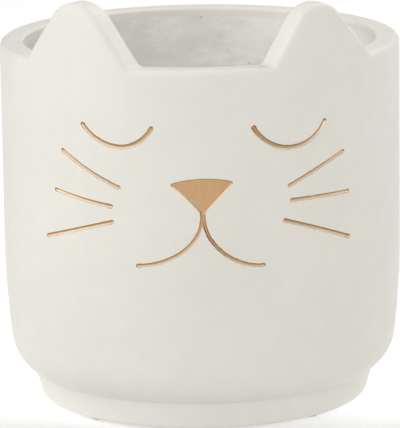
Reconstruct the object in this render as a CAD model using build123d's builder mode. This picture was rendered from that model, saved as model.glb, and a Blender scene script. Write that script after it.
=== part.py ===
from build123d import *
import os
from math import cos, degrees, radians, sin, sqrt, tan

# Round planter cast in one piece from cement, with two ears on its rim and a sleeping cat's face.
# The face is cut into the front as shallow grooves, and each groove is lined with gold.
# The front is -Y, up is +Z, and the origin is on the floor under the middle of the pot.
# Distances "along" are measured round the wall from the middle of the face, left negative.

# Pot wall, measured from the underside of the foot
pot_radius = 75.0
wall = 9.0
rim_height = 136.5
rim_outer_round = 2.3
rim_inner_round = 1.3

# Belly: below the mouth the wall leans in along a long arc, then turns under along a tight one
foot_height = 10.6
corner_radius = 17.5
belly_below_mouth = 3.137
belly_lean = 6.5
corner_lean = 59.0

# Foot ring and floor
foot_taper = 16.5
foot_round = 2.7
foot_ring_width = 14.0
foot_inner_round = 1.5
recess_depth = 3.5
floor_thickness = 12.0
cavity_corner_radius = 12.0

# Drain hole and its rubber plug
drain_radius = 8.0
drain_edge = 0.8
plug_gap = 0.25
plug_flange_radius = 14.0
plug_flange_height = 2.6
plug_shank_taper = 2.0
plug_neck_radius = 3.2
plug_neck_height = 3.0
plug_knob_radius = 5.4
plug_knob_height = 5.0
plug_edge_round = 0.9

# Foot pads
pad_count = 4
pad_radius = 4.2
pad_height = 1.0
pad_edge = 0.25
pad_first_turn = 45.0

# Ears: turn of the tip round the wall, height over the rim, and reach of each slope at the rim
ear_inner_base_round = 2.4
ear_outer_base_round = 1.2
left_ear_turn = -37.8
left_ear_height = 22.5
left_ear_tip_round = 13.0
left_ear_outer_reach = 25.3
left_ear_inner_reach = 22.0
right_ear_turn = 36.1
right_ear_height = 21.5
right_ear_tip_round = 11.4
right_ear_outer_reach = 25.9
right_ear_inner_reach = 19.6

# Face lines: each is a round-bottomed groove with a lining of gold
line_depth = 0.75
gold_thickness = 0.22
gold_gap = 0.02
eye_line_width = 1.7
whisker_line_width = 1.45
mouth_line_width = 1.35

# Closed eyes: the middle of each, its width and how far it sags. The face hangs from the rim.
eye_below_rim = 28.9
eye_drop = 7.8
left_eye_along = -31.6
left_eye_width = 26.6
right_eye_along = 33.0
right_eye_width = 29.0

# Whiskers lie in a field on each cheek, which starts at whisker_along
whisker_along = 31.0
whisker_field_width = 33.0
whisker_field_below_eye = 37.2
whisker_field_height = 34.4

# Nose and mouth
nose_along = 0.0
nose_below_eye = 10.8
nose_width = 22.8
nose_height = 13.1
nose_depth = 0.85
nose_corner_round = 0.5
nose_edge_round = 0.6
mouth_along = 0.3
mouth_drop = 16.2
mouth_half_width = 24.2
stem_gap = 0.9
stem_height = 5.2
stem_into_nose = 1.7

# Shares of eye_width across and of eye_drop up, along each lid
left_eye_shares = ((-0.52, 0.977), (-0.27, 0.324), (0.008, 0.067), (0.259, 0.218), (0.506, 0.98))
right_eye_shares = ((0.52, 0.93), (0.3, 0.16), (0.0, -0.1), (-0.475, 0.96))

# Shares of the whisker field across and up, from the inner end through the middle to the tip
left_whisker_shares = {
    "upper": ((0.0, 0.66), (0.365, 0.81), (0.73, 0.995)),
    "middle": ((0.094, 0.45), (0.47, 0.497), (0.848, 0.555)),
    "lower": ((0.085, 0.283), (0.545, 0.158), (1.0, 0.033)),
}
right_whisker_shares = {
    "upper": ((0.058, 0.648), (0.42, 0.797), (0.785, 0.93)),
    "middle": ((0.09, 0.49), (0.48, 0.492), (0.86, 0.489)),
    "lower": ((0.0, 0.28), (0.43, 0.145), (0.873, -0.005)),
}

# Shares of stem_gap across and of stem_height up: the two strokes under the nose draw in at the middle
stem_shares = ((0.5, 1.0), (0.42, 0.25))

# Shares of mouth_half_width across and of mouth_drop up, from under the stem to the mouth's corner
left_mouth_shares = ((-0.111, -0.305), (-0.406, -0.713), (-1.002, -0.965))
right_mouth_shares = ((0.118, -0.353), (0.378, -0.743), (0.629, -0.921), (0.91, -0.988))

# Shares of nose_width across and of nose_height down: corners, mid-top, tip and the bend of each side
nose_left_corner_share = (-0.5, 0.15)
nose_top_share = (0.0, 0.0)
nose_right_corner_share = (0.5, 0.1)
nose_left_side_share = (-0.24, 0.51)
nose_tip_share = (0.012, 1.0)

# One overrun serves every cut, and an edge counts as on a surface when it is this near
overrun = 5.0
near = 0.01

# Heights of the face over the foot: each follows the one above it, and the belly starts below the mouth
eye_height = rim_height - eye_below_rim
whisker_field_low = eye_height - whisker_field_below_eye
nose_top = eye_height - nose_below_eye
mouth_top = nose_top - nose_height + stem_into_nose - stem_height

# Heights over the floor, which the pads lift the foot from
foot_level = pad_height
rim_level = foot_level + rim_height
recess_level = foot_level + recess_depth
cavity_level = recess_level + floor_thickness
cavity_radius = pot_radius - wall

# The belly's joints: where the foot meets the corner arc, where that meets the belly arc, and its top
lean_1 = radians(belly_lean)
lean_2 = radians(corner_lean)
foot_top_level = foot_level + foot_height
corner_top_level = foot_top_level + corner_radius * (sin(lean_2) - sin(lean_1))
belly_top_level = foot_level + mouth_top - mouth_drop - belly_below_mouth
belly_radius = (belly_top_level - corner_top_level) / sin(lean_1)
corner_top_radius = pot_radius - belly_radius * (1 - cos(lean_1))
foot_top_radius = corner_top_radius - corner_radius * (cos(lean_1) - cos(lean_2))
foot_radius = foot_top_radius - foot_height * tan(radians(foot_taper))
foot_ring_inner = foot_radius - foot_ring_width

# The plug's own levels
plug_flange_top = cavity_level + plug_flange_height
plug_neck_top = plug_flange_top + plug_neck_height
plug_top = plug_neck_top + plug_knob_height
plug_shank_radius = drain_radius - plug_gap
plug_tip_radius = plug_shank_radius - floor_thickness * tan(radians(plug_shank_taper))


def outward_plane(turn, level):
    """Upright plane through the pot's axis that faces out of the wall at this turn, in degrees."""
    angle = radians(turn)
    return Plane(
        origin=(0, 0, level),
        x_dir=(cos(angle), sin(angle), 0),
        z_dir=(sin(angle), -cos(angle), 0),
    )


def on_wall(along, height, lift):
    """Point on the wall at a distance along it from the front and at a height over the foot."""
    angle = along / pot_radius
    reach = pot_radius + lift
    return Vector(reach * sin(angle), -reach * cos(angle), foot_level + height)


def place_shares(shares, along, low, width, height):
    """Points on the wall from shares of a width and a height."""
    return [(along + across * width, low + up * height) for across, up in shares]


def slope_touch(base_x, tip_y, tip_round, side):
    """Point of the ear tip's circle where a straight slope from (base_x, 0) touches it."""
    distance = sqrt(base_x**2 + tip_y**2)
    reach = sqrt(distance**2 - tip_round**2)
    cos_turn = reach / distance
    sin_turn = side * tip_round / distance
    return (
        base_x + reach * (-base_x * cos_turn - tip_y * sin_turn) / distance,
        reach * (-base_x * sin_turn + tip_y * cos_turn) / distance,
    )


def ear_prism(turn, height, tip_round, left_reach, right_reach, left_round, right_round):
    """Upright prism with the ear's outline over the rim, from the pot's axis out past the wall."""
    left_touch = slope_touch(-left_reach, height - tip_round, tip_round, 1)
    right_touch = slope_touch(right_reach, height - tip_round, tip_round, -1)
    left_end = -left_reach - left_round
    right_end = right_reach + right_round
    with BuildPart() as ear:
        with BuildSketch(outward_plane(turn, rim_level)) as outline:
            with BuildLine():
                Line((left_end, 0), (-left_reach, 0))
                Line((-left_reach, 0), left_touch)
                ThreePointArc(left_touch, (0, height), right_touch)
                Line(right_touch, (right_reach, 0))
                Line((right_reach, 0), (right_end, 0))
                Line((right_end, 0), (right_end, -wall))
                Line((right_end, -wall), (left_end, -wall))
                Line((left_end, -wall), (left_end, 0))
            make_face()
            fillet(outline.vertices().sort_by_distance((-left_reach, 0))[0], left_round)
            fillet(outline.vertices().sort_by_distance((right_reach, 0))[0], right_round)
        extrude(amount=pot_radius + overrun)
    return ear.part


def groove_bar(points, width, shrink=0.0):
    """Round bar along a smooth stroke on the wall, which sinks line_depth under the surface.

    The points are (along, height over the foot). An arc passes through the first three of them,
    and each later point ends one more arc that carries on smoothly from the last.
    """
    radius = (width**2 / 4 + line_depth**2) / (2 * line_depth)
    places = [on_wall(along, height, radius - line_depth) for along, height in points]
    with BuildPart() as bar:
        with BuildLine() as path:
            arc = ThreePointArc(*places[:3])
            for place in places[3:]:
                arc = TangentArc(arc @ 1, place, tangent=arc % 1)
        with BuildSketch(Plane(path.line @ 0, z_dir=path.line % 0)):
            Circle(radius - shrink)
        sweep(path=path.line)
        for end in (places[0], places[-1]):
            with Locations(end):
                Sphere(radius - shrink)
    return bar.part


def line_gold(label, strokes, width, keep_off=None):
    """Thin gold lining of a groove made of one or more strokes, up to the wall's surface."""
    with BuildPart() as lining:
        for points in strokes:
            add(groove_bar(points, width, gold_gap))
        for points in strokes:
            add(groove_bar(points, width, gold_gap + gold_thickness), mode=Mode.SUBTRACT)
        Cylinder(pot_radius, rim_level, align=(Align.CENTER, Align.CENTER, Align.MIN), mode=Mode.INTERSECT)
        if keep_off:
            add(keep_off, mode=Mode.SUBTRACT)
    lining.part.label = label
    export_step(lining.part, f"parts/{label}.step")


def nose_block(inner, outer):
    """The nose's outline between two radii about the pot's axis."""
    low = foot_level + nose_top - nose_height
    corners = [
        (across * nose_width, (1 - down) * nose_height)
        for across, down in (
            nose_left_corner_share,
            nose_top_share,
            nose_right_corner_share,
            nose_tip_share,
            nose_left_side_share,
        )
    ]
    with BuildPart() as block:
        with BuildSketch(outward_plane(degrees(nose_along / pot_radius), low)) as outline:
            with BuildLine():
                ThreePointArc(*corners[0:3])
                Line(corners[2], corners[3])
                ThreePointArc(corners[3], corners[4], corners[0])
            make_face()
            fillet(outline.vertices(), nose_corner_round)
        extrude(amount=pot_radius + overrun)
        Cylinder(outer, rim_level, align=(Align.CENTER, Align.CENTER, Align.MIN), mode=Mode.INTERSECT)
        Cylinder(inner, rim_level, align=(Align.CENTER, Align.CENTER, Align.MIN), mode=Mode.SUBTRACT)
    return block.part


# Turned body: foot ring, belly, floor and a wall that stands as high as the taller ear
crown_level = rim_level + max(left_ear_height, right_ear_height) + overrun
foot_top = (foot_top_radius, foot_top_level)
corner_top = (corner_top_radius, corner_top_level)
belly_top = (pot_radius, belly_top_level)
with BuildPart() as turned:
    with BuildSketch(Plane.XZ) as profile:
        with BuildLine():
            Line((drain_radius, recess_level), (foot_ring_inner, recess_level))
            Line((foot_ring_inner, recess_level), (foot_ring_inner, foot_level))
            Line((foot_ring_inner, foot_level), (foot_radius, foot_level))
            Line((foot_radius, foot_level), foot_top)
            RadiusArc(foot_top, corner_top, -corner_radius)
            RadiusArc(corner_top, belly_top, -belly_radius)
            Line(belly_top, (pot_radius, crown_level))
            Line((pot_radius, crown_level), (cavity_radius, crown_level))
            Line((cavity_radius, crown_level), (cavity_radius, cavity_level))
            Line((cavity_radius, cavity_level), (drain_radius, cavity_level))
            Line((drain_radius, cavity_level), (drain_radius, recess_level))
        make_face()
        fillet(profile.vertices().sort_by_distance((foot_radius, foot_level))[0], foot_round)
        fillet(profile.vertices().sort_by_distance((foot_ring_inner, foot_level))[0], foot_inner_round)
        fillet(profile.vertices().sort_by_distance((foot_ring_inner, recess_level))[0], foot_inner_round)
        fillet(profile.vertices().sort_by_distance((cavity_radius, cavity_level))[0], cavity_corner_radius)
        chamfer(profile.vertices().sort_by_distance((drain_radius, cavity_level))[0], drain_edge)
        chamfer(profile.vertices().sort_by_distance((drain_radius, recess_level))[0], drain_edge)
    revolve(axis=Axis.Z)

# Space that the finished pot keeps: all below the rim, and the two ears above it
with BuildPart() as kept:
    Cylinder(pot_radius + overrun, rim_level, align=(Align.CENTER, Align.CENTER, Align.MIN))
    add(
        ear_prism(
            left_ear_turn,
            left_ear_height,
            left_ear_tip_round,
            left_ear_outer_reach,
            left_ear_inner_reach,
            ear_outer_base_round,
            ear_inner_base_round,
        )
    )
    add(
        ear_prism(
            right_ear_turn,
            right_ear_height,
            right_ear_tip_round,
            right_ear_inner_reach,
            right_ear_outer_reach,
            ear_inner_base_round,
            ear_outer_base_round,
        )
    )


def edges_at(shape, radius, low, high):
    """Edges whose ends lie on an upright cylinder of this radius, between two levels."""
    between = shape.edges().filter_by(lambda edge: low < edge.center().Z < high)
    return between.filter_by(
        lambda edge: all(abs(Vector(end.X, end.Y).length - radius) < near for end in (edge @ 0, edge @ 1))
    )


# Face strokes as points on the wall: along from the front, and height over the foot
eye_strokes = {
    "left_eye": place_shares(left_eye_shares, left_eye_along, eye_height, left_eye_width, eye_drop),
    "right_eye": place_shares(right_eye_shares, right_eye_along, eye_height, right_eye_width, eye_drop),
}
whisker_strokes = {}
for name, shares in left_whisker_shares.items():
    whisker_strokes[f"left_{name}_whisker"] = place_shares(
        shares, -whisker_along, whisker_field_low, -whisker_field_width, whisker_field_height
    )
for name, shares in right_whisker_shares.items():
    whisker_strokes[f"right_{name}_whisker"] = place_shares(
        shares, whisker_along, whisker_field_low, whisker_field_width, whisker_field_height
    )
mouth_strokes = []
for side, shares in ((-1, left_mouth_shares), (1, right_mouth_shares)):
    stem = place_shares(stem_shares, mouth_along, mouth_top, side * stem_gap, stem_height)
    lip = place_shares(shares, mouth_along, mouth_top, mouth_half_width, mouth_drop)
    mouth_strokes.append(stem + lip)

# Pot body: the cast blank with rounded rim and ears, then the nose recess and the line grooves
with BuildPart() as pot_body:
    add(turned.part)
    add(kept.part, mode=Mode.INTERSECT)
    fillet(edges_at(pot_body, pot_radius, rim_level - wall, crown_level), rim_outer_round)
    fillet(edges_at(pot_body, cavity_radius, rim_level - wall, crown_level), rim_inner_round)
    add(nose_block(pot_radius - nose_depth, pot_radius + overrun), mode=Mode.SUBTRACT)
    nose_low = foot_level + nose_top - nose_height - overrun
    nose_high = foot_level + nose_top + overrun
    fillet(edges_at(pot_body, pot_radius, nose_low, nose_high), nose_edge_round)
    for points in eye_strokes.values():
        add(groove_bar(points, eye_line_width), mode=Mode.SUBTRACT)
    for points in whisker_strokes.values():
        add(groove_bar(points, whisker_line_width), mode=Mode.SUBTRACT)
    for points in mouth_strokes:
        add(groove_bar(points, mouth_line_width), mode=Mode.SUBTRACT)
pot_body.part.label = "pot_body"

# Drain plug: a soft rubber bung whose flange lies on the floor and whose shank hangs in the hole
with BuildPart() as drain_plug:
    with BuildSketch(Plane.XZ) as half:
        with BuildLine():
            Polyline(
                (0, recess_level),
                (plug_tip_radius, recess_level),
                (plug_shank_radius, cavity_level),
                (plug_flange_radius, cavity_level),
                (plug_flange_radius, plug_flange_top),
                (plug_neck_radius, plug_flange_top),
                (plug_neck_radius, plug_neck_top),
                (plug_knob_radius, plug_neck_top),
                (plug_knob_radius, plug_top),
                (0, plug_top),
                close=True,
            )
        make_face()
        for corner, radius in (
            ((plug_tip_radius, recess_level), plug_edge_round),
            ((plug_flange_radius, plug_flange_top), plug_edge_round),
            ((plug_neck_radius, plug_flange_top), plug_edge_round),
            ((plug_neck_radius, plug_neck_top), plug_edge_round),
            ((plug_knob_radius, plug_neck_top), plug_edge_round),
            ((plug_knob_radius, plug_top), plug_edge_round),
        ):
            fillet(half.vertices().sort_by_distance(corner)[0], radius)
    revolve(axis=Axis.Z)
drain_plug.part.label = "drain_plug"

os.makedirs("parts", exist_ok=True)
export_step(pot_body.part, "parts/pot_body.step")
export_step(drain_plug.part, "parts/drain_plug.step")

# Gold linings, one for each line of the face, and a gold floor in the nose recess
for label, points in eye_strokes.items():
    line_gold(f"{label}_gilding", [points], eye_line_width)
for label, points in whisker_strokes.items():
    line_gold(f"{label}_gilding", [points], whisker_line_width)
line_gold("mouth_gilding", mouth_strokes, mouth_line_width, nose_block(0, pot_radius + overrun))

with BuildPart() as nose_gilding:
    nose_floor = pot_radius - nose_depth
    add(nose_block(nose_floor, nose_floor + gold_thickness))
nose_gilding.part.label = "nose_gilding"
export_step(nose_gilding.part, "parts/nose_gilding.step")

# Foot pads, face to face with the underside of the foot and set in from both of its edges
pad_ring_inner = foot_ring_inner + foot_inner_round
pad_ring_outer = foot_radius - foot_round
pad_ring_radius = (pad_ring_inner + pad_ring_outer) / 2
for number, spot in enumerate(PolarLocations(pad_ring_radius, pad_count, start_angle=pad_first_turn)):
    with BuildPart() as pad:
        with Locations(spot):
            Cylinder(pad_radius, pad_height, align=(Align.CENTER, Align.CENTER, Align.MIN))
        chamfer(pad.edges().filter_by(GeomType.CIRCLE).group_by(Axis.Z)[0], pad_edge)
    pad.part.label = f"foot_pad_{number + 1}"
    export_step(pad.part, f"parts/foot_pad_{number + 1}.step")

print("foot radius", foot_radius, "junction", foot_top_radius, "belly top", belly_top_level)
print("cavity floor", cavity_level, "plug top", plug_top, "pad ring", pad_ring_radius)
print("tallest", rim_level + max(left_ear_height, right_ear_height))
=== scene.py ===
from math import acos, cos, exp, hypot, pi, radians, sin, sqrt

import bmesh
import bpy
from mathutils import Matrix, Vector, noise
from mathutils.geometry import intersect_sphere_sphere_2d


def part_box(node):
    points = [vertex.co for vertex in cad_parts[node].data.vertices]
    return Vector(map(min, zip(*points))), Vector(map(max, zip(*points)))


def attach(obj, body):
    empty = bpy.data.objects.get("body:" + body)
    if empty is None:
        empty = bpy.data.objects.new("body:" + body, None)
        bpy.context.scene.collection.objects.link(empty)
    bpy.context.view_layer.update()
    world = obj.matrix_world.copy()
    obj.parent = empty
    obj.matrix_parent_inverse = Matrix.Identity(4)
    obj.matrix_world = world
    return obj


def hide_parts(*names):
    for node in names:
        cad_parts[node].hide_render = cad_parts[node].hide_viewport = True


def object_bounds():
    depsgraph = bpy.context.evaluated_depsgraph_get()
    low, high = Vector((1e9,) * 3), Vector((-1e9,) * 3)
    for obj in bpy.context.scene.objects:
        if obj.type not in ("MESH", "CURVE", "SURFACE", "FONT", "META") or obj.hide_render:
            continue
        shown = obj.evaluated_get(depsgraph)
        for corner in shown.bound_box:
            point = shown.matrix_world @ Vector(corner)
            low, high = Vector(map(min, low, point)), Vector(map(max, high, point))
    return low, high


# Cast cement planter with cat ears and a sleeping face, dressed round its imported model.
# Lengths are in metres, the front is -Y, and the origin is on the floor under the middle of the pot.

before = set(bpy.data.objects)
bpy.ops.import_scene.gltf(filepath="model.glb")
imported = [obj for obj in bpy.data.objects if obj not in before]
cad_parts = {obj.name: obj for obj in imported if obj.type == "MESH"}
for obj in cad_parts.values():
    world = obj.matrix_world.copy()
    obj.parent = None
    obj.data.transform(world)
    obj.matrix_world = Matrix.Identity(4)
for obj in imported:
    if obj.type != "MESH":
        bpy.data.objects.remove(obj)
cad_low, cad_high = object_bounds()

MM = 0.001

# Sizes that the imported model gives
POT_RADIUS = cad_high.x
FOOT_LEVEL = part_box("foot_pad_1")[1].z

# Sizes of the casting that the looks follow, a level within its floor, and the number of its pads
RIM_HEIGHT = 136.5 * MM
CAVITY_RADIUS = 66.0 * MM
RECESS_RADIUS = 47.4 * MM
POT_FLOOR_LEVEL = 15.0 * MM
PAD_COUNT = 4

# Face lines as they are pressed into the wall: depth, and the width of each kind
LINE_DEPTH = 0.75 * MM
EYE_LINE = 1.7 * MM
WHISKER_LINE = 1.45 * MM
MOUTH_LINE = 1.35 * MM

# Closed eyes: their height over the foot, how far they sag, and the middle and width of each
EYE_BELOW_RIM = 28.9 * MM
EYE_HEIGHT = RIM_HEIGHT - EYE_BELOW_RIM
EYE_DROP = 7.8 * MM
LEFT_EYE_ALONG = -31.6 * MM
LEFT_EYE_WIDTH = 26.6 * MM
RIGHT_EYE_ALONG = 33.0 * MM
RIGHT_EYE_WIDTH = 29.0 * MM

# Whiskers lie in a field on each cheek
WHISKER_ALONG = 31.0 * MM
FIELD_WIDTH = 33.0 * MM
FIELD_BELOW_EYE = 37.2 * MM
FIELD_LOW = EYE_HEIGHT - FIELD_BELOW_EYE
FIELD_HEIGHT = 34.4 * MM

# Nose and mouth, whose two stems start inside the nose
NOSE_BELOW_EYE = 10.8 * MM
NOSE_TOP = EYE_HEIGHT - NOSE_BELOW_EYE
NOSE_WIDTH = 22.8 * MM
NOSE_HEIGHT = 13.1 * MM
NOSE_DEPTH = 0.85 * MM
NOSE_CORNER_ROUND = 0.5 * MM
NOSE_EDGE_ROUND = 0.6 * MM
STEM_INTO_NOSE = 1.7 * MM
STEM_GAP = 0.9 * MM
STEM_HEIGHT = 5.2 * MM
MOUTH_ALONG = 0.3 * MM
MOUTH_TOP = NOSE_TOP - NOSE_HEIGHT + STEM_INTO_NOSE - STEM_HEIGHT
MOUTH_DROP = 16.2 * MM
MOUTH_HALF_WIDTH = 24.2 * MM

# Shares of the eye's width across and of its drop up, along each lid
LEFT_EYE_SHARES = ((-0.52, 0.977), (-0.27, 0.324), (0.008, 0.067), (0.259, 0.218), (0.506, 0.98))
RIGHT_EYE_SHARES = ((0.52, 0.93), (0.3, 0.16), (0.0, -0.1), (-0.475, 0.96))

# Shares of the whisker field across and up, from the inner end through the middle to the tip
LEFT_WHISKER_SHARES = {
    "upper": ((0.0, 0.66), (0.365, 0.81), (0.73, 0.995)),
    "middle": ((0.094, 0.45), (0.47, 0.497), (0.848, 0.555)),
    "lower": ((0.085, 0.283), (0.545, 0.158), (1.0, 0.033)),
}
RIGHT_WHISKER_SHARES = {
    "upper": ((0.058, 0.648), (0.42, 0.797), (0.785, 0.93)),
    "middle": ((0.09, 0.49), (0.48, 0.492), (0.86, 0.489)),
    "lower": ((0.0, 0.28), (0.43, 0.145), (0.873, -0.005)),
}

# Shares of the stem's gap and height, and of the mouth's half width and drop
STEM_SHARES = ((0.5, 1.0), (0.42, 0.25))
LEFT_MOUTH_SHARES = ((-0.111, -0.305), (-0.406, -0.713), (-1.002, -0.965))
RIGHT_MOUTH_SHARES = ((0.118, -0.353), (0.378, -0.743), (0.629, -0.921), (0.91, -0.988))

# Shares of the nose's width across and of its height down, at its left corner, its right corner and its tip
NOSE_CORNER_SHARES = ((-0.5, 0.15), (0.5, 0.1), (0.012, 1.0))

# The same shares at a point on its top, its right side and its left side, and at one well inside it
NOSE_BEND_SHARES = ((0.0, 0.0), (0.2565, 0.5505), (-0.24, 0.51))
NOSE_MIDDLE_SHARES = (0.0, 0.35)

# Gold paint: thickness of its film, how far it strays over the lips, and how its edge wanders
FILM = 0.05 * MM
STRAY = 0.05 * MM
STRAY_WANDER = 0.22 * MM
WANDER_LENGTH = 1.3 * MM
BLOB = 0.16 * MM
BLOB_LENGTH = 0.9 * MM

# Shares of the stray that is always there, and of the film's thickness that the stray loses towards its edge
LEAST_STRAY_SHARE = 0.3
FEATHER_SHARE = 1.3

# Resolution of the gold: spacing of its rows along a stroke, and rows round each end
ROW_SPACING = 0.3 * MM
CAP_ROWS = 8

# Shares of the half profile of a line: round the groove from its middle to the lip, then over the stray
GROOVE_SHARES = (0.0, 0.2, 0.4, 0.58, 0.74, 0.88, 1.0)
STRAY_SHARES = (0.0, 0.35, 0.7, 0.92, 1.0)

# Gold in the nose: how thick it lies, its depth under the wall, and how near the edge its last floor ring is
NOSE_FILM = 0.1 * MM
NOSE_GOLD_DEPTH = NOSE_DEPTH - NOSE_FILM
FLOOR_RIM = 0.15 * MM

# Shares of the way from the nose's middle to its edge, and of its lip's quarter turn, that have a ring
FLOOR_SHARES = (0.0, 0.12, 0.25, 0.4, 0.55, 0.7, 0.82, 0.9)
LIP_SHARES = (0.0, 0.2, 0.4, 0.6, 0.8, 1.0)

# How far one gold surface dips under another, the skin's thickness, and how near two points count as one
TUCK = 0.02 * MM
GOLD_THICKNESS = 0.03 * MM
MERGE_DISTANCE = 0.001 * MM

# Camera of the photograph: its place, its heading, tilt and roll in radians, and its lens and sensor in mm
CAMERA_PLACE = Vector((0.0, -1.49982, 0.39454))
CAMERA_YAW = -0.0005
CAMERA_PITCH = 0.2138
CAMERA_ROLL = -0.0147
CAMERA_LENS = 340.2
CAMERA_SENSOR = 36.0

# Studio lights: turn from the front to the right and rise in degrees, distance and width, and power in watts
LIGHTS = {
    "key": (-48, 37, 1.6, 0.8, 2.5),
    "front_fill": (0, 30, 1.6, 0.8, 12.2),
    "left_fill": (-90, 22, 1.6, 1.0, 10.0),
    "left_high": (-90, 50, 1.6, 1.0, 2.5),
    "right_fill": (90, 20, 1.6, 1.0, 5.6),
    "right_back": (135, 40, 1.6, 1.0, 12.0),
    "overhead": (0, 88, 1.6, 1.6, 1.0),
    "into_the_hollow": (0, 84, 0.42, 0.15, 0.22),
}
FLOOR_HALF_WIDTH = 6.0


class Wire:
    """Output socket of a material's node, with arithmetic that adds Math nodes."""

    def __init__(self, finish, socket):
        self.finish = finish
        self.socket = socket

    def math(self, operation, first, second):
        return self.finish.node("ShaderNodeMath", {"operation": operation}, {0: first, 1: second})

    def __add__(self, other):
        return self.math("ADD", self, other)

    def __radd__(self, other):
        return self.math("ADD", other, self)

    def __sub__(self, other):
        return self.math("SUBTRACT", self, other)

    def __rsub__(self, other):
        return self.math("SUBTRACT", other, self)

    def __mul__(self, other):
        return self.math("MULTIPLY", self, other)

    def __rmul__(self, other):
        return self.math("MULTIPLY", other, self)

    def __pow__(self, other):
        return self.math("POWER", self, other)

    def __lt__(self, other):
        return self.math("LESS_THAN", self, other)

    def __gt__(self, other):
        return self.math("GREATER_THAN", self, other)

    def most(self, other):
        return self.math("MAXIMUM", self, other)


class Finish:
    """Material round one Principled shader, whose nodes are added by method calls."""

    def __init__(self, name, constants):
        self.material = bpy.data.materials.new(name)
        self.material.use_nodes = True
        self.tree = self.material.node_tree
        self.shader = self.tree.nodes["Principled BSDF"]
        for socket, value in constants.items():
            self.shader.inputs[socket].default_value = value
        self.place = self.node("ShaderNodeTexCoord", output="Object")
        self.x = self.part(self.place, "X")
        self.y = self.part(self.place, "Y")
        self.z = self.part(self.place, "Z")

    def node(self, kind, settings=None, inputs=None, output=0):
        """Adds a node: its settings first, then the values or links of its sockets."""
        made = self.tree.nodes.new(kind)
        for name, value in (settings or {}).items():
            setattr(made, name, value)
        for socket, value in (inputs or {}).items():
            if isinstance(value, Wire):
                self.tree.links.new(value.socket, made.inputs[socket])
            else:
                made.inputs[socket].default_value = value
        return Wire(self, made.outputs[output])

    def part(self, vector, axis):
        """Part of a vector along an axis."""
        return self.node("ShaderNodeSeparateXYZ", {}, {0: vector}, axis)

    def facing(self, axis):
        """How far the surface faces along an axis, from -1 to 1."""
        return self.part(self.node("ShaderNodeNewGeometry", output="Normal"), axis)

    def stretched(self, x, y, z):
        """Object coordinates scaled apart, so that a pattern on them is drawn out."""
        return self.node("ShaderNodeMapping", {}, {"Vector": self.place, "Scale": (x, y, z)})

    def cloud(self, feature, detail=2.0, roughness=0.5, place=None):
        """Noise from 0 to 1 whose patches are about as large as feature."""
        inputs = {
            "Vector": place or self.place,
            "Scale": 1 / feature,
            "Detail": detail,
            "Roughness": roughness,
        }
        return self.node("ShaderNodeTexNoise", {}, inputs)

    def dots(self, spacing, radius, share):
        """1 at the middle of round spots, 0 outside them, at a share of the points of a random lattice."""
        inputs = {"Vector": self.place, "Scale": 1 / spacing, "Randomness": 1.0}
        distance = self.node("ShaderNodeTexVoronoi", {}, inputs, "Distance")
        cell = self.node("ShaderNodeTexVoronoi", {}, inputs, "Color")
        chosen = self.node("ShaderNodeSeparateColor", {}, {0: cell}) < share
        return chosen * self.between(distance, radius / spacing, 0.0)

    def between(self, value, start, end, low=0.0, high=1.0):
        """Smooth step of a value: low at start and high at end."""
        inputs = {0: value, 1: start, 2: end, 3: low, 4: high}
        return self.node("ShaderNodeMapRange", {"interpolation_type": "SMOOTHSTEP"}, inputs)

    def blend(self, share, first, second):
        """Colour that goes from first to second as share goes from 0 to 1."""
        inputs = {0: share, 6: first, 7: second}
        return self.node("ShaderNodeMix", {"data_type": "RGBA"}, inputs, 2)

    def relief(self, height, depth):
        """Normal that a height map from 0 to 1 gives, where 1 stands depth above 0."""
        inputs = {"Strength": 1.0, "Distance": depth, "Height": height}
        return self.node("ShaderNodeBump", {}, inputs)

    def feed(self, socket, wire):
        """Links a wire to a socket of the shader."""
        self.tree.links.new(wire.socket, self.shader.inputs[socket])


def colour(red, green, blue):
    """Opaque colour."""
    return (red, green, blue, 1.0)


def mixed(share, first, second):
    """Sum of two wires in which the second has this share, and the first the rest."""
    return first * (1 - share) + second * share


# Tones and steps below are what between takes: start, end, and the values there if they aren't 0 and 1

# Line inside the rim where the paint ends, with its blur, its long waves and its frayed edge
PAINT_BELOW_RIM = 3.5 * MM
PAINT_LINE = FOOT_LEVEL + RIM_HEIGHT - PAINT_BELOW_RIM
PAINT_LINE_BLUR = 0.9 * MM
WAVER_SIZE = 18 * MM
WAVER_RISE = 3.0 * MM
FRAY_SIZE = 3 * MM
FRAY_RISE = 1.2 * MM

# How far beyond the radius of the hollow, and of the recess under the foot, the cement counts as inside it
HOLLOW_SLACK = 1.2 * MM
RECESS_SLACK = 0.5 * MM

# Scuffs round the foot: their size, how far they waver, and the levels where they start and are full
SCUFF_SIZE = 4 * MM
SCUFF_RISE = 1.6 * MM
SCUFF_TOP = 2.4 * MM
SCUFF_FULL = 1.6 * MM


def bare_places(finish):
    """1 where the cement is bare: in the hollow below the paint's line, under the foot and at its scuffs."""
    radius = (finish.x**2 + finish.y**2) ** 0.5
    hollow = (radius < CAVITY_RADIUS + HOLLOW_SLACK) * (finish.z > POT_FLOOR_LEVEL)
    under = (radius < RECESS_RADIUS + RECESS_SLACK) * (finish.z < POT_FLOOR_LEVEL)
    waver = finish.cloud(WAVER_SIZE) * WAVER_RISE + finish.cloud(FRAY_SIZE) * FRAY_RISE
    edge = finish.z + waver - (WAVER_RISE + FRAY_RISE) / 2
    below_line = finish.between(edge, PAINT_LINE + PAINT_LINE_BLUR, PAINT_LINE - PAINT_LINE_BLUR)
    worn = finish.z + finish.cloud(SCUFF_SIZE, detail=4.0) * SCUFF_RISE
    scuff = finish.between(worn, SCUFF_TOP, SCUFF_FULL)
    return (hollow * below_line).most(under).most(scuff)


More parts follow.
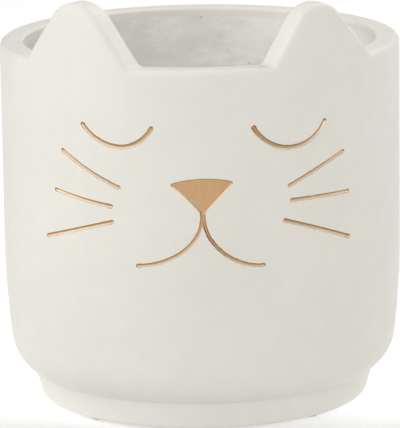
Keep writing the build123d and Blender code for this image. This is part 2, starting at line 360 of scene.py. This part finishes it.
# Warm white matt paint: faint clouds and patches, a fine eggshell grain and a few pinholes
PAINT_LIGHT = colour(0.806, 0.782, 0.718)
PAINT_DARK = colour(0.780, 0.756, 0.692)
CLOUD_SIZE = 40 * MM
PATCH_SIZE = 7 * MM
PATCH_SHARE = 0.4
PAINT_TONES = (0.35, 0.65)
PAINT_ROUGHNESS = (0.3, 0.7, 0.56, 0.66)
GRAIN_SIZE = 0.9 * MM
GRAIN_RISE_SHARE = 0.25
PINHOLES = {"spacing": 9 * MM, "radius": 0.35 * MM, "share": 0.35}
PINHOLE_TINT_SHARE = 0.35


def white_paint(finish, grain):
    """Colour, roughness and height of the paint."""
    clouds = mixed(PATCH_SHARE, finish.cloud(CLOUD_SIZE, detail=3.0), finish.cloud(PATCH_SIZE, detail=3.0))
    pinholes = finish.dots(**PINHOLES)
    tint = finish.blend(finish.between(clouds, *PAINT_TONES), PAINT_LIGHT, PAINT_DARK)
    tint = finish.blend(pinholes * PINHOLE_TINT_SHARE, tint, CEMENT_DARK)
    roughness = finish.between(clouds, *PAINT_ROUGHNESS)
    return tint, roughness, grain * GRAIN_RISE_SHARE - pinholes + 1.0


# Painted shade: the cement is coloured lighter to the right and upwards, where the hollow is less shaded:
# gains in tone over a pot's radius, and the level with none
SHADE_GAIN_RIGHT = 0.22
SHADE_GAIN_UP = 0.4
SHADE_GAIN_LEVEL = 125 * MM

# Grey cement: mottled, with level streaks from pouring, dark specks, and air pits coloured dark as painted
# shade inside them
CEMENT_LIGHT = colour(0.850, 0.830, 0.774)
CEMENT_DARK = colour(0.745, 0.727, 0.679)
CEMENT_PIT_SHADE = colour(0.420, 0.409, 0.381)
CEMENT_TONES = (0.36, 0.64)
STREAK_SIZE = 14 * MM
STREAK_SQUEEZE = 3.5
MOTTLE_SIZE = 5 * MM
MOTTLE_SHARE = 0.4
SPECKS = {"spacing": 3.4 * MM, "radius": 0.5 * MM, "share": 0.3}
SPECK_TINT_SHARE = 0.35
PITS = {"spacing": 6 * MM, "radius": 0.9 * MM, "share": 0.4}
PIT_SHADE_SHARE = 0.7
CEMENT_GRAIN_SHARE = 0.5
CEMENT_ROUGHNESS = 0.85
CEMENT_ROUGHNESS_SPREAD = 0.1
CEMENT_RELIEF = 1.6


def grey_cement(finish, grain):
    """Colour, roughness and height of the bare cement."""
    squeezed = finish.stretched(1.0, 1.0, STREAK_SQUEEZE)
    streaks = finish.cloud(STREAK_SIZE, detail=5.0, roughness=0.6, place=squeezed)
    mottle = finish.cloud(MOTTLE_SIZE, detail=5.0, roughness=0.65)
    specks = finish.dots(**SPECKS)
    pits = finish.dots(**PITS)
    # Painted shade: the cement is coloured darker to the left and lower down in the hollow
    hollow_shade = finish.x * (SHADE_GAIN_RIGHT / POT_RADIUS) + (finish.z - SHADE_GAIN_LEVEL) * (SHADE_GAIN_UP / POT_RADIUS)
    tone = finish.between(mixed(MOTTLE_SHARE, streaks, mottle) + hollow_shade, *CEMENT_TONES)
    tint = finish.blend(tone, CEMENT_DARK, CEMENT_LIGHT)
    # Air pits are coloured darker as painted shade inside them
    tint = finish.blend((specks * SPECK_TINT_SHARE).most(pits * PIT_SHADE_SHARE), tint, CEMENT_PIT_SHADE)
    roughness = mottle * CEMENT_ROUGHNESS_SPREAD + CEMENT_ROUGHNESS
    return tint, roughness, (mixed(CEMENT_GRAIN_SHARE, mottle, grain) - pits) * CEMENT_RELIEF


# Relief that a height of 1 stands for on the casting
RELIEF_DEPTH = 0.06 * MM


def painted_cement():
    """Paint outside and down to a wavering line inside the rim, and bare cement from there on."""
    finish = Finish("painted_cement", {"Specular IOR Level": 0.3})
    bare = bare_places(finish)
    grain = finish.cloud(GRAIN_SIZE, detail=4.0, roughness=0.6)
    paint, paint_roughness, paint_height = white_paint(finish, grain)
    cement, cement_roughness, cement_height = grey_cement(finish, grain)
    finish.feed("Base Color", finish.blend(bare, paint, cement))
    finish.feed("Roughness", finish.blend(bare, paint_roughness, cement_roughness))
    height = (1 - bare) * paint_height + bare * cement_height
    finish.feed("Normal", finish.relief(height, RELIEF_DEPTH))
    return finish.material


# Gold paint of bronze powder where it is even, with a painted highlight on walls that face up and left and
# painted shade on those that face down and left
GOLD_DARK = colour(0.632, 0.384, 0.180)
GOLD_LIGHT = colour(0.712, 0.438, 0.210)
GOLD_HIGHLIGHT = colour(0.98, 0.84, 0.63)
GOLD_SHADE = colour(0.25, 0.155, 0.08)
BRUSH_SIZE = 1.6 * MM
FLAKE_SIZE = 0.2 * MM
FLAKE_TONE_SHARE = 0.5
FLAKE_RELIEF_SHARE = 0.4
GOLD_TONES = (0.3, 0.7)
HIGHLIGHT_LEFT_SHARE = 0.35
HIGHLIGHT_WANDER = 0.3
HIGHLIGHT_STEP = (0.05, 0.6)
SHADE_LEFT_SHARE = 0.3
SHADE_STEP = (0.1, 0.75)
SHADE_SHARE = 0.8
GOLD_METALLIC = (0.0, 1.0, 0.85, 0.1)
GOLD_ROUGHNESS = (0.2, 0.8, 0.34, 0.46)
GOLD_COAT = (0.2, 0.8, 0.6, 1.0)
GOLD_RELIEF_DEPTH = 0.03 * MM


def gold_paint():
    """Bronze powder in clear binder, brushed on.

    Walls that face up and left, towards the light, get a painted highlight, and those that face down and
    left get painted shade.
    """
    finish = Finish("gold_paint", {"Coat Roughness": 0.25})
    clouds = finish.cloud(BRUSH_SIZE, detail=4.0, roughness=0.6)
    flake = finish.cloud(FLAKE_SIZE, roughness=0.7)
    upward = finish.facing("Z")
    leftward = (finish.y * finish.facing("X") - finish.x * finish.facing("Y")) * (1 / POT_RADIUS)
    wander = clouds * HIGHLIGHT_WANDER - HIGHLIGHT_WANDER / 2
    # Painted highlight: pale cream and less metallic on walls that face up and left
    lit_highlight = finish.between(upward + leftward * HIGHLIGHT_LEFT_SHARE + wander, *HIGHLIGHT_STEP)
    # Painted shade: dark brown on walls that face down and left
    groove_shade = finish.between(leftward * SHADE_LEFT_SHARE - upward, *SHADE_STEP)
    tone = finish.between(mixed(FLAKE_TONE_SHARE, clouds, flake), *GOLD_TONES)
    even = finish.blend(tone, GOLD_DARK, GOLD_LIGHT)
    gilt = finish.blend(groove_shade * SHADE_SHARE, even, GOLD_SHADE)
    finish.feed("Base Color", finish.blend(lit_highlight, gilt, GOLD_HIGHLIGHT))
    finish.feed("Metallic", finish.between(lit_highlight, *GOLD_METALLIC))
    finish.feed("Roughness", finish.between(flake, *GOLD_ROUGHNESS))
    finish.feed("Coat Weight", finish.between(clouds, *GOLD_COAT))
    finish.feed("Normal", finish.relief(mixed(FLAKE_RELIEF_SHARE, clouds, flake), GOLD_RELIEF_DEPTH))
    return finish.material


# Black moulded rubber of the plug, with pale dust on top
PLUG_BLACK = colour(0.020, 0.020, 0.021)
PLUG_DUST = colour(0.22, 0.21, 0.195)
DUST_STEP = (0.2, 1.0)
DUST_SIZE = 2 * MM
DUST_SHARE = 0.5
PLUG_SHEEN_SIZE = 1.2 * MM
PLUG_ROUGHNESS = 0.5
PLUG_ROUGHNESS_SPREAD = 0.2
PLUG_GRAIN_SIZE = 0.4 * MM
PLUG_GRAIN_DEPTH = 0.03 * MM


def plug_rubber():
    """Black moulded rubber, dusty where it faces up."""
    finish = Finish("plug_rubber", {"Specular IOR Level": 0.4})
    settled = finish.between(finish.facing("Z"), *DUST_STEP)
    dust = settled * finish.cloud(DUST_SIZE, detail=5.0, roughness=0.7)
    finish.feed("Base Color", finish.blend(dust * DUST_SHARE, PLUG_BLACK, PLUG_DUST))
    sheen = finish.cloud(PLUG_SHEEN_SIZE, detail=3.0)
    finish.feed("Roughness", sheen * PLUG_ROUGHNESS_SPREAD + PLUG_ROUGHNESS)
    finish.feed("Normal", finish.relief(finish.cloud(PLUG_GRAIN_SIZE, detail=3.0), PLUG_GRAIN_DEPTH))
    return finish.material


# Grey foam rubber of the foot pads, with open pores coloured dark as painted shade inside them
PAD_DARK = colour(0.16, 0.155, 0.15)
PAD_LIGHT = colour(0.24, 0.235, 0.225)
PAD_PORE_SHADE = colour(0.06, 0.058, 0.055)
PAD_CLOUD_SIZE = 1.5 * MM
PORES = {"spacing": 0.5 * MM, "radius": 0.3 * MM, "share": 0.7}
PORE_SHADE_SHARE = 0.6
PORE_DEPTH = 0.08 * MM
PAD_SHEEN_SIZE = 1.0 * MM
PAD_ROUGHNESS = 0.85
PAD_ROUGHNESS_SPREAD = 0.1


def pad_rubber():
    """Grey foam rubber with open pores."""
    finish = Finish("pad_rubber", {"Specular IOR Level": 0.3})
    pores = finish.dots(**PORES)
    tone = finish.blend(finish.cloud(PAD_CLOUD_SIZE, detail=3.0), PAD_DARK, PAD_LIGHT)
    # Pores are coloured darker as painted shade inside them
    finish.feed("Base Color", finish.blend(pores * PORE_SHADE_SHARE, tone, PAD_PORE_SHADE))
    finish.feed("Roughness", finish.cloud(PAD_SHEEN_SIZE) * PAD_ROUGHNESS_SPREAD + PAD_ROUGHNESS)
    finish.feed("Normal", finish.relief(1 - pores, PORE_DEPTH))
    return finish.material


# Floor and its glow in front of the pot and behind, and shares of the pot's radius back where the glow rises
FLOOR_GREY = colour(0.5, 0.5, 0.5)
GLOW_FRONT = colour(0.36, 0.36, 0.36)
GLOW_BACK = colour(0.68, 0.68, 0.68)
GLOW_SHARES = (-1.05, -0.1)


def pale_floor():
    """Pale floor that glows like a light table, least in front of the pot and more from there backwards."""
    finish = Finish("pale_floor", {"Base Color": FLOOR_GREY, "Roughness": 0.9, "Emission Strength": 1.0})
    back = finish.between(finish.y, *[share * POT_RADIUS for share in GLOW_SHARES])
    finish.feed("Emission Color", finish.blend(back, GLOW_FRONT, GLOW_BACK))
    return finish.material


def on_wall(along, height, lift):
    """Point at a distance along the wall, a height over the foot and a lift off the wall."""
    turn = along / POT_RADIUS
    reach = POT_RADIUS + lift
    return Vector((reach * sin(turn), -reach * cos(turn), FOOT_LEVEL + height))


def outward(point):
    """Level unit vector from the pot's axis through a point."""
    return Vector((point.x, point.y, 0.0)).normalized()


def at_depth(point, depth):
    """The point moved level to a depth under the wall's surface."""
    place = outward(point) * (POT_RADIUS - depth)
    return Vector((place.x, place.y, point.z))


def groove_radius(width):
    """Radius of the round tool that presses a line of this width to the depth of all lines."""
    return (width**2 / 4 + LINE_DEPTH**2) / (2 * LINE_DEPTH)


def arc_centre(start, middle, end):
    """Centre of the circle through three points."""
    chord = middle - start
    far = end - start
    normal = chord.cross(far)
    reach = normal.cross(chord) * far.length_squared + far.cross(normal) * chord.length_squared
    return start + reach / (2 * normal.length_squared)


def first_tangent(start, middle, end):
    """Direction in which the arc through three points leaves the first."""
    normal = (middle - start).cross(end - start)
    return normal.cross(start - arc_centre(start, middle, end)).normalized()


def tangent_arc(start, tangent, end):
    """Stations (point, tangent) along the arc that leaves start along tangent and ends at end."""
    chord = end - start
    half = tangent.angle(chord)
    axis = tangent.cross(chord).normalized()
    radius = chord.length / (2 * sin(half))
    centre = start + axis.cross(tangent) * radius
    count = max(2, round(2 * half * radius / ROW_SPACING))
    turns = [Matrix.Rotation(2 * half * step / count, 3, axis) for step in range(1, count + 1)]
    return [(centre + turn @ (start - centre), turn @ tangent) for turn in turns]


def stroke_stations(points, width):
    """Stations along the tool's path: an arc through the first three points, then arcs that carry on."""
    lift = groove_radius(width) - LINE_DEPTH
    places = [on_wall(along, height, lift) for along, height in points]
    stations = [(places[0], first_tangent(*places[:3]))]
    for place in places[2:]:
        stations += tangent_arc(*stations[-1], place)
    return stations


def place_shares(shares, along, low, width, height):
    """Points (along, height over the foot) from shares of a width and a height."""
    return [(along + across * width, low + up * height) for across, up in shares]


def stray_at(point, to_end):
    """How far the paint strays over the lip near a point, and further close to the stroke's end."""
    wander = noise.noise(point / WANDER_LENGTH)
    stray = STRAY + STRAY_WANDER * wander + BLOB * exp(-((to_end / BLOB_LENGTH) ** 2))
    return max(stray, LEAST_STRAY_SHARE * STRAY)


def stray_depth(share):
    """Depth of the stray's surface under the wall at a share of its width. Its edge ends inside the wall."""
    return FILM * (FEATHER_SHARE * share - 1)


def line_sink(point, centres, width):
    """Depth under the wall of the gold in a groove, at a point near the path of its tool."""
    foot = at_depth(point, 0)
    away = min((at_depth(centre, 0) - foot).length for centre in centres)
    tool = groove_radius(width) - FILM
    return sqrt(max(0, tool**2 - away**2)) - (groove_radius(width) - LINE_DEPTH)


def half_profile(centre, aside, width, to_end, floor):
    """Points from the middle of the groove out over its lip, on the side that aside points to.

    The floor gives the least depth at a point, where another surface lies deeper than the wall.
    """
    tool = groove_radius(width) - FILM
    lift = hypot(centre.x, centre.y) - POT_RADIUS
    lip = acos(lift / tool)
    edge = width / 2
    stray = stray_at(centre + aside * edge, to_end)
    steps = [(tool * sin(share * lip), tool * cos(share * lip) - lift) for share in GROOVE_SHARES]
    steps += [(edge - FILM / 2, -FILM / 2)]
    steps += [(edge + share * stray, stray_depth(share)) for share in STRAY_SHARES]
    feet = [(centre + aside * reach, depth) for reach, depth in steps]
    return [at_depth(foot, max(depth, floor(foot))) for foot, depth in feet]


def line_rows(points, width, floor):
    """Rows of points across a gold line, with a fan of rows round each end."""
    stations = stroke_stations(points, width)
    ends = (stations[0][0], stations[-1][0])
    fans = [pi / 2 * step / CAP_ROWS for step in range(1, CAP_ROWS + 1)]
    turned = [(stations[0], -turn) for turn in reversed(fans)]
    turned += [(station, 0.0) for station in stations]
    turned += [(stations[-1], turn) for turn in fans]
    rows = []
    for (centre, tangent), turn in turned:
        out = outward(centre)
        aside = tangent.cross(out).normalized()
        ahead = out.cross(aside)
        to_end = min((centre - end).length for end in ends)
        left = half_profile(centre, ahead * sin(turn) - aside * cos(turn), width, to_end, floor)
        right = half_profile(centre, ahead * sin(turn) + aside * cos(turn), width, to_end, floor)
        rows.append(left[:0:-1] + right)
    return rows


def nose_place(share):
    """Flat point (across, up) of a share of the nose's width and height, seen from the front."""
    return Vector((share[0] * NOSE_WIDTH, FOOT_LEVEL + NOSE_TOP - share[1] * NOSE_HEIGHT))


def nose_outline():
    """Points along the nose's outline, each with the flat direction out of the nose."""
    middle = nose_place(NOSE_MIDDLE_SHARES)
    corners = [nose_place(share) for share in NOSE_CORNER_SHARES]
    bends = [nose_place(share) for share in NOSE_BEND_SHARES]

    # Each side is an arc, with a bulge of 1 where it bows out of the nose and -1 where it bows in
    sides = []
    for start, bend, end in zip(corners, bends, corners[1:] + corners[:1]):
        centre = arc_centre(start.to_3d(), bend.to_3d(), end.to_3d()).to_2d()
        radius = (start - centre).length
        bulge = 1 if (middle - centre).length < radius else -1
        sides.append((centre, radius, bulge))

    # Each corner is rounded about the point that lies the round's radius inside both of its sides
    rounds = []
    for corner, before, side in zip(corners, sides[-1:] + sides, sides):
        reaches = [radius - bulge * NOSE_CORNER_ROUND for centre, radius, bulge in (before, side)]
        meets = intersect_sphere_sphere_2d(before[0], reaches[0], side[0], reaches[1])
        rounds.append(min(meets, key=lambda meet: (meet - corner).length))

    # Points run along each side from its start to its end, then round the corner to the next side's start
    starts = [((place - side[0]) * side[2]).normalized() for place, side in zip(rounds, sides)]
    outline = []
    for number, (centre, radius, bulge) in enumerate(sides):
        after = (number + 1) % len(sides)
        end = ((rounds[after] - centre) * bulge).normalized()
        count = round(radius * starts[number].angle(end) / ROW_SPACING)
        ways = [starts[number].slerp(end, step / count) for step in range(count + 1)]
        outline += [(centre + way * bulge * radius, way) for way in ways]
        ways = [end.slerp(starts[after], step / CAP_ROWS) for step in range(1, CAP_ROWS)]
        outline += [(rounds[after] + way * NOSE_CORNER_ROUND, way) for way in ways]
    return outline + outline[:1]


def nose_sink(point, outline):
    """Depth under the wall at which gold of a line dives below the nose's gold at a point."""
    flat = Vector((point.x, point.z))
    nearest, way = min(outline, key=lambda pair: (pair[0] - flat).length)
    beyond = (flat - nearest).dot(way)
    if beyond > NOSE_EDGE_ROUND:
        return -FILM
    if beyond <= -FILM:
        return NOSE_GOLD_DEPTH + TUCK
    lip = sqrt((NOSE_EDGE_ROUND + FILM) ** 2 - (NOSE_EDGE_ROUND - beyond) ** 2)
    return min(NOSE_EDGE_ROUND - lip, NOSE_GOLD_DEPTH) + TUCK


def nose_rows(outline, centres):
    """Rings of points over the nose's floor, up its wall, over its lip and out to the stray edge."""
    middle = nose_place(NOSE_MIDDLE_SHARES)
    rings = []
    for share in FLOOR_SHARES:
        rings.append([(middle + (place - middle) * share, NOSE_GOLD_DEPTH) for place, way in outline])
    steps = [(-FLOOR_RIM, NOSE_GOLD_DEPTH), (-FILM - TUCK, NOSE_GOLD_DEPTH - TUCK)]
    for share in LIP_SHARES:
        turn = share * pi / 2
        reach = NOSE_EDGE_ROUND + FILM
        steps.append((NOSE_EDGE_ROUND - reach * cos(turn), NOSE_EDGE_ROUND - reach * sin(turn)))
    for step, depth in steps:
        rings.append([(place + way * step, depth) for place, way in outline])
    strays = [stray_at(place.to_3d(), NOSE_WIDTH) for place, way in outline]
    for share in STRAY_SHARES:
        ring = []
        for (place, way), stray in zip(outline, strays):
            ring.append((place + way * (NOSE_EDGE_ROUND + share * stray), stray_depth(share)))
        rings.append(ring)
    rows = []
    for ring in rings:
        row = []
        for flat, depth in ring:
            point = Vector((flat.x, -sqrt(POT_RADIUS**2 - flat.x**2), flat.y))
            depth = max(depth, line_sink(point, centres, MOUTH_LINE))
            row.append(Vector((flat.x, -sqrt((POT_RADIUS - depth) ** 2 - flat.x**2), flat.y)))
        rows.append(row)
    return rows


def skin(rows):
    """Bmesh grid bent so that each row of its vertices lies on a row of points."""
    mesh = bmesh.new()
    bmesh.ops.create_grid(mesh, x_segments=len(rows[0]) - 1, y_segments=len(rows) - 1, size=1.0)
    places = [place for row in rows for place in row]
    for vert, place in zip(mesh.verts, places, strict=True):
        vert.co = place
    bmesh.ops.remove_doubles(mesh, verts=mesh.verts, dist=MERGE_DISTANCE)
    return mesh


def gold_piece(name, mesh):
    """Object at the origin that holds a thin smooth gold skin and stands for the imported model's lining."""
    bmesh.ops.recalc_face_normals(mesh, faces=mesh.faces)
    if sum(face.normal.dot(outward(face.calc_center_median())) for face in mesh.faces) < 0:
        bmesh.ops.reverse_faces(mesh, faces=mesh.faces)
    data = bpy.data.meshes.new(name)
    mesh.to_mesh(data)
    mesh.free()
    data.shade_smooth()
    data.materials.append(gold)
    piece = bpy.data.objects.new(name, data)
    piece.modifiers.new("film", "SOLIDIFY").thickness = GOLD_THICKNESS
    bpy.context.scene.collection.objects.link(piece)
    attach(piece, "pot")
    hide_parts(f"{name}_gilding")


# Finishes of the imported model's own pieces
gold = gold_paint()
finishes = {"pot_body": painted_cement(), "drain_plug": plug_rubber()}
finishes |= dict.fromkeys([f"foot_pad_{number + 1}" for number in range(PAD_COUNT)], pad_rubber())
for name, material in finishes.items():
    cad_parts[name].data.materials.clear()
    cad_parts[name].data.materials.append(material)

# Eyes and whiskers, as points (along the wall, height over the foot)
left_eye = place_shares(LEFT_EYE_SHARES, LEFT_EYE_ALONG, EYE_HEIGHT, LEFT_EYE_WIDTH, EYE_DROP)
right_eye = place_shares(RIGHT_EYE_SHARES, RIGHT_EYE_ALONG, EYE_HEIGHT, RIGHT_EYE_WIDTH, EYE_DROP)
lines = {"left_eye": (left_eye, EYE_LINE), "right_eye": (right_eye, EYE_LINE)}
for side, sign, table in (("left", -1, LEFT_WHISKER_SHARES), ("right", 1, RIGHT_WHISKER_SHARES)):
    for level, shares in table.items():
        points = place_shares(shares, sign * WHISKER_ALONG, FIELD_LOW, sign * FIELD_WIDTH, FIELD_HEIGHT)
        lines[f"{side}_{level}_whisker"] = (points, WHISKER_LINE)
for name, (points, width) in lines.items():
    gold_piece(name, skin(line_rows(points, width, lambda point: -FILM)))

# Nose and mouth, where each surface sinks under the deeper one. The mouth's halves meet at its middle.
outline = nose_outline()
mouth = bmesh.new()
centres = []
for side, shares in ((-1, LEFT_MOUTH_SHARES), (1, RIGHT_MOUTH_SHARES)):
    points = place_shares(STEM_SHARES, MOUTH_ALONG, MOUTH_TOP, side * STEM_GAP, STEM_HEIGHT)
    points += place_shares(shares, MOUTH_ALONG, MOUTH_TOP, MOUTH_HALF_WIDTH, MOUTH_DROP)
    centres += [centre for centre, tangent in stroke_stations(points, MOUTH_LINE)]
    half = skin(line_rows(points, MOUTH_LINE, lambda point: nose_sink(point, outline)))
    turn = MOUTH_ALONG / POT_RADIUS
    middle = Vector((cos(turn), sin(turn), 0.0)) * side
    everything = half.verts[:] + half.edges[:] + half.faces[:]
    bmesh.ops.bisect_plane(half, geom=everything, plane_co=(0, 0, 0), plane_no=middle, clear_inner=True)
    kept = bpy.data.meshes.new("half")
    half.to_mesh(kept)
    half.free()
    mouth.from_mesh(kept)
    bpy.data.meshes.remove(kept)
gold_piece("mouth", mouth)
gold_piece("nose", skin(nose_rows(outline, centres)))


def photo_camera():
    """Camera that sees the pot as the photograph does."""
    heading = Matrix.Rotation(-CAMERA_YAW, 3, "Z") @ Matrix.Rotation(pi / 2 - CAMERA_PITCH, 3, "X")
    camera = bpy.data.objects.new("camera", bpy.data.cameras.new("camera"))
    camera.matrix_world = (heading @ Matrix.Rotation(CAMERA_ROLL, 3, "Z")).to_4x4()
    camera.location = CAMERA_PLACE
    camera.data.sensor_width = CAMERA_SENSOR
    camera.data.lens = CAMERA_LENS
    bpy.context.scene.collection.objects.link(camera)
    bpy.context.scene.camera = camera


def soft_light(name, turn, rise, distance, size, power):
    """Square light aimed at the pot from a turn and a rise in degrees, unseen by the camera."""
    turn = radians(turn)
    rise = radians(rise)
    towards = Vector((cos(rise) * sin(turn), -cos(rise) * cos(turn), sin(rise)))
    lamp = bpy.data.objects.new(name, bpy.data.lights.new(name, "AREA"))
    lamp.data.energy = power
    lamp.data.size = size
    lamp.location = Vector((0, 0, POT_RADIUS)) + towards * distance
    lamp.rotation_mode = "QUATERNION"
    lamp.rotation_quaternion = towards.to_track_quat("Z", "Y")
    lamp.visible_camera = False
    bpy.context.scene.collection.objects.link(lamp)


def floor_sheet():
    """Flat floor that the pot stands on."""
    mesh = bmesh.new()
    bmesh.ops.create_grid(mesh, x_segments=1, y_segments=1, size=FLOOR_HALF_WIDTH)
    data = bpy.data.meshes.new("floor")
    mesh.to_mesh(data)
    mesh.free()
    data.materials.append(pale_floor())
    sheet = bpy.data.objects.new("floor", data)
    bpy.context.scene.collection.objects.link(sheet)


photo_camera()
floor_sheet()
for name, setting in LIGHTS.items():
    soft_light(name, *setting)

world = bpy.data.worlds.new("studio")
world.use_nodes = True
world.node_tree.nodes["Background"].inputs["Color"].default_value = colour(0.0, 0.0, 0.0)
bpy.context.scene.world = world
bpy.context.scene.view_settings.view_transform = "Standard"
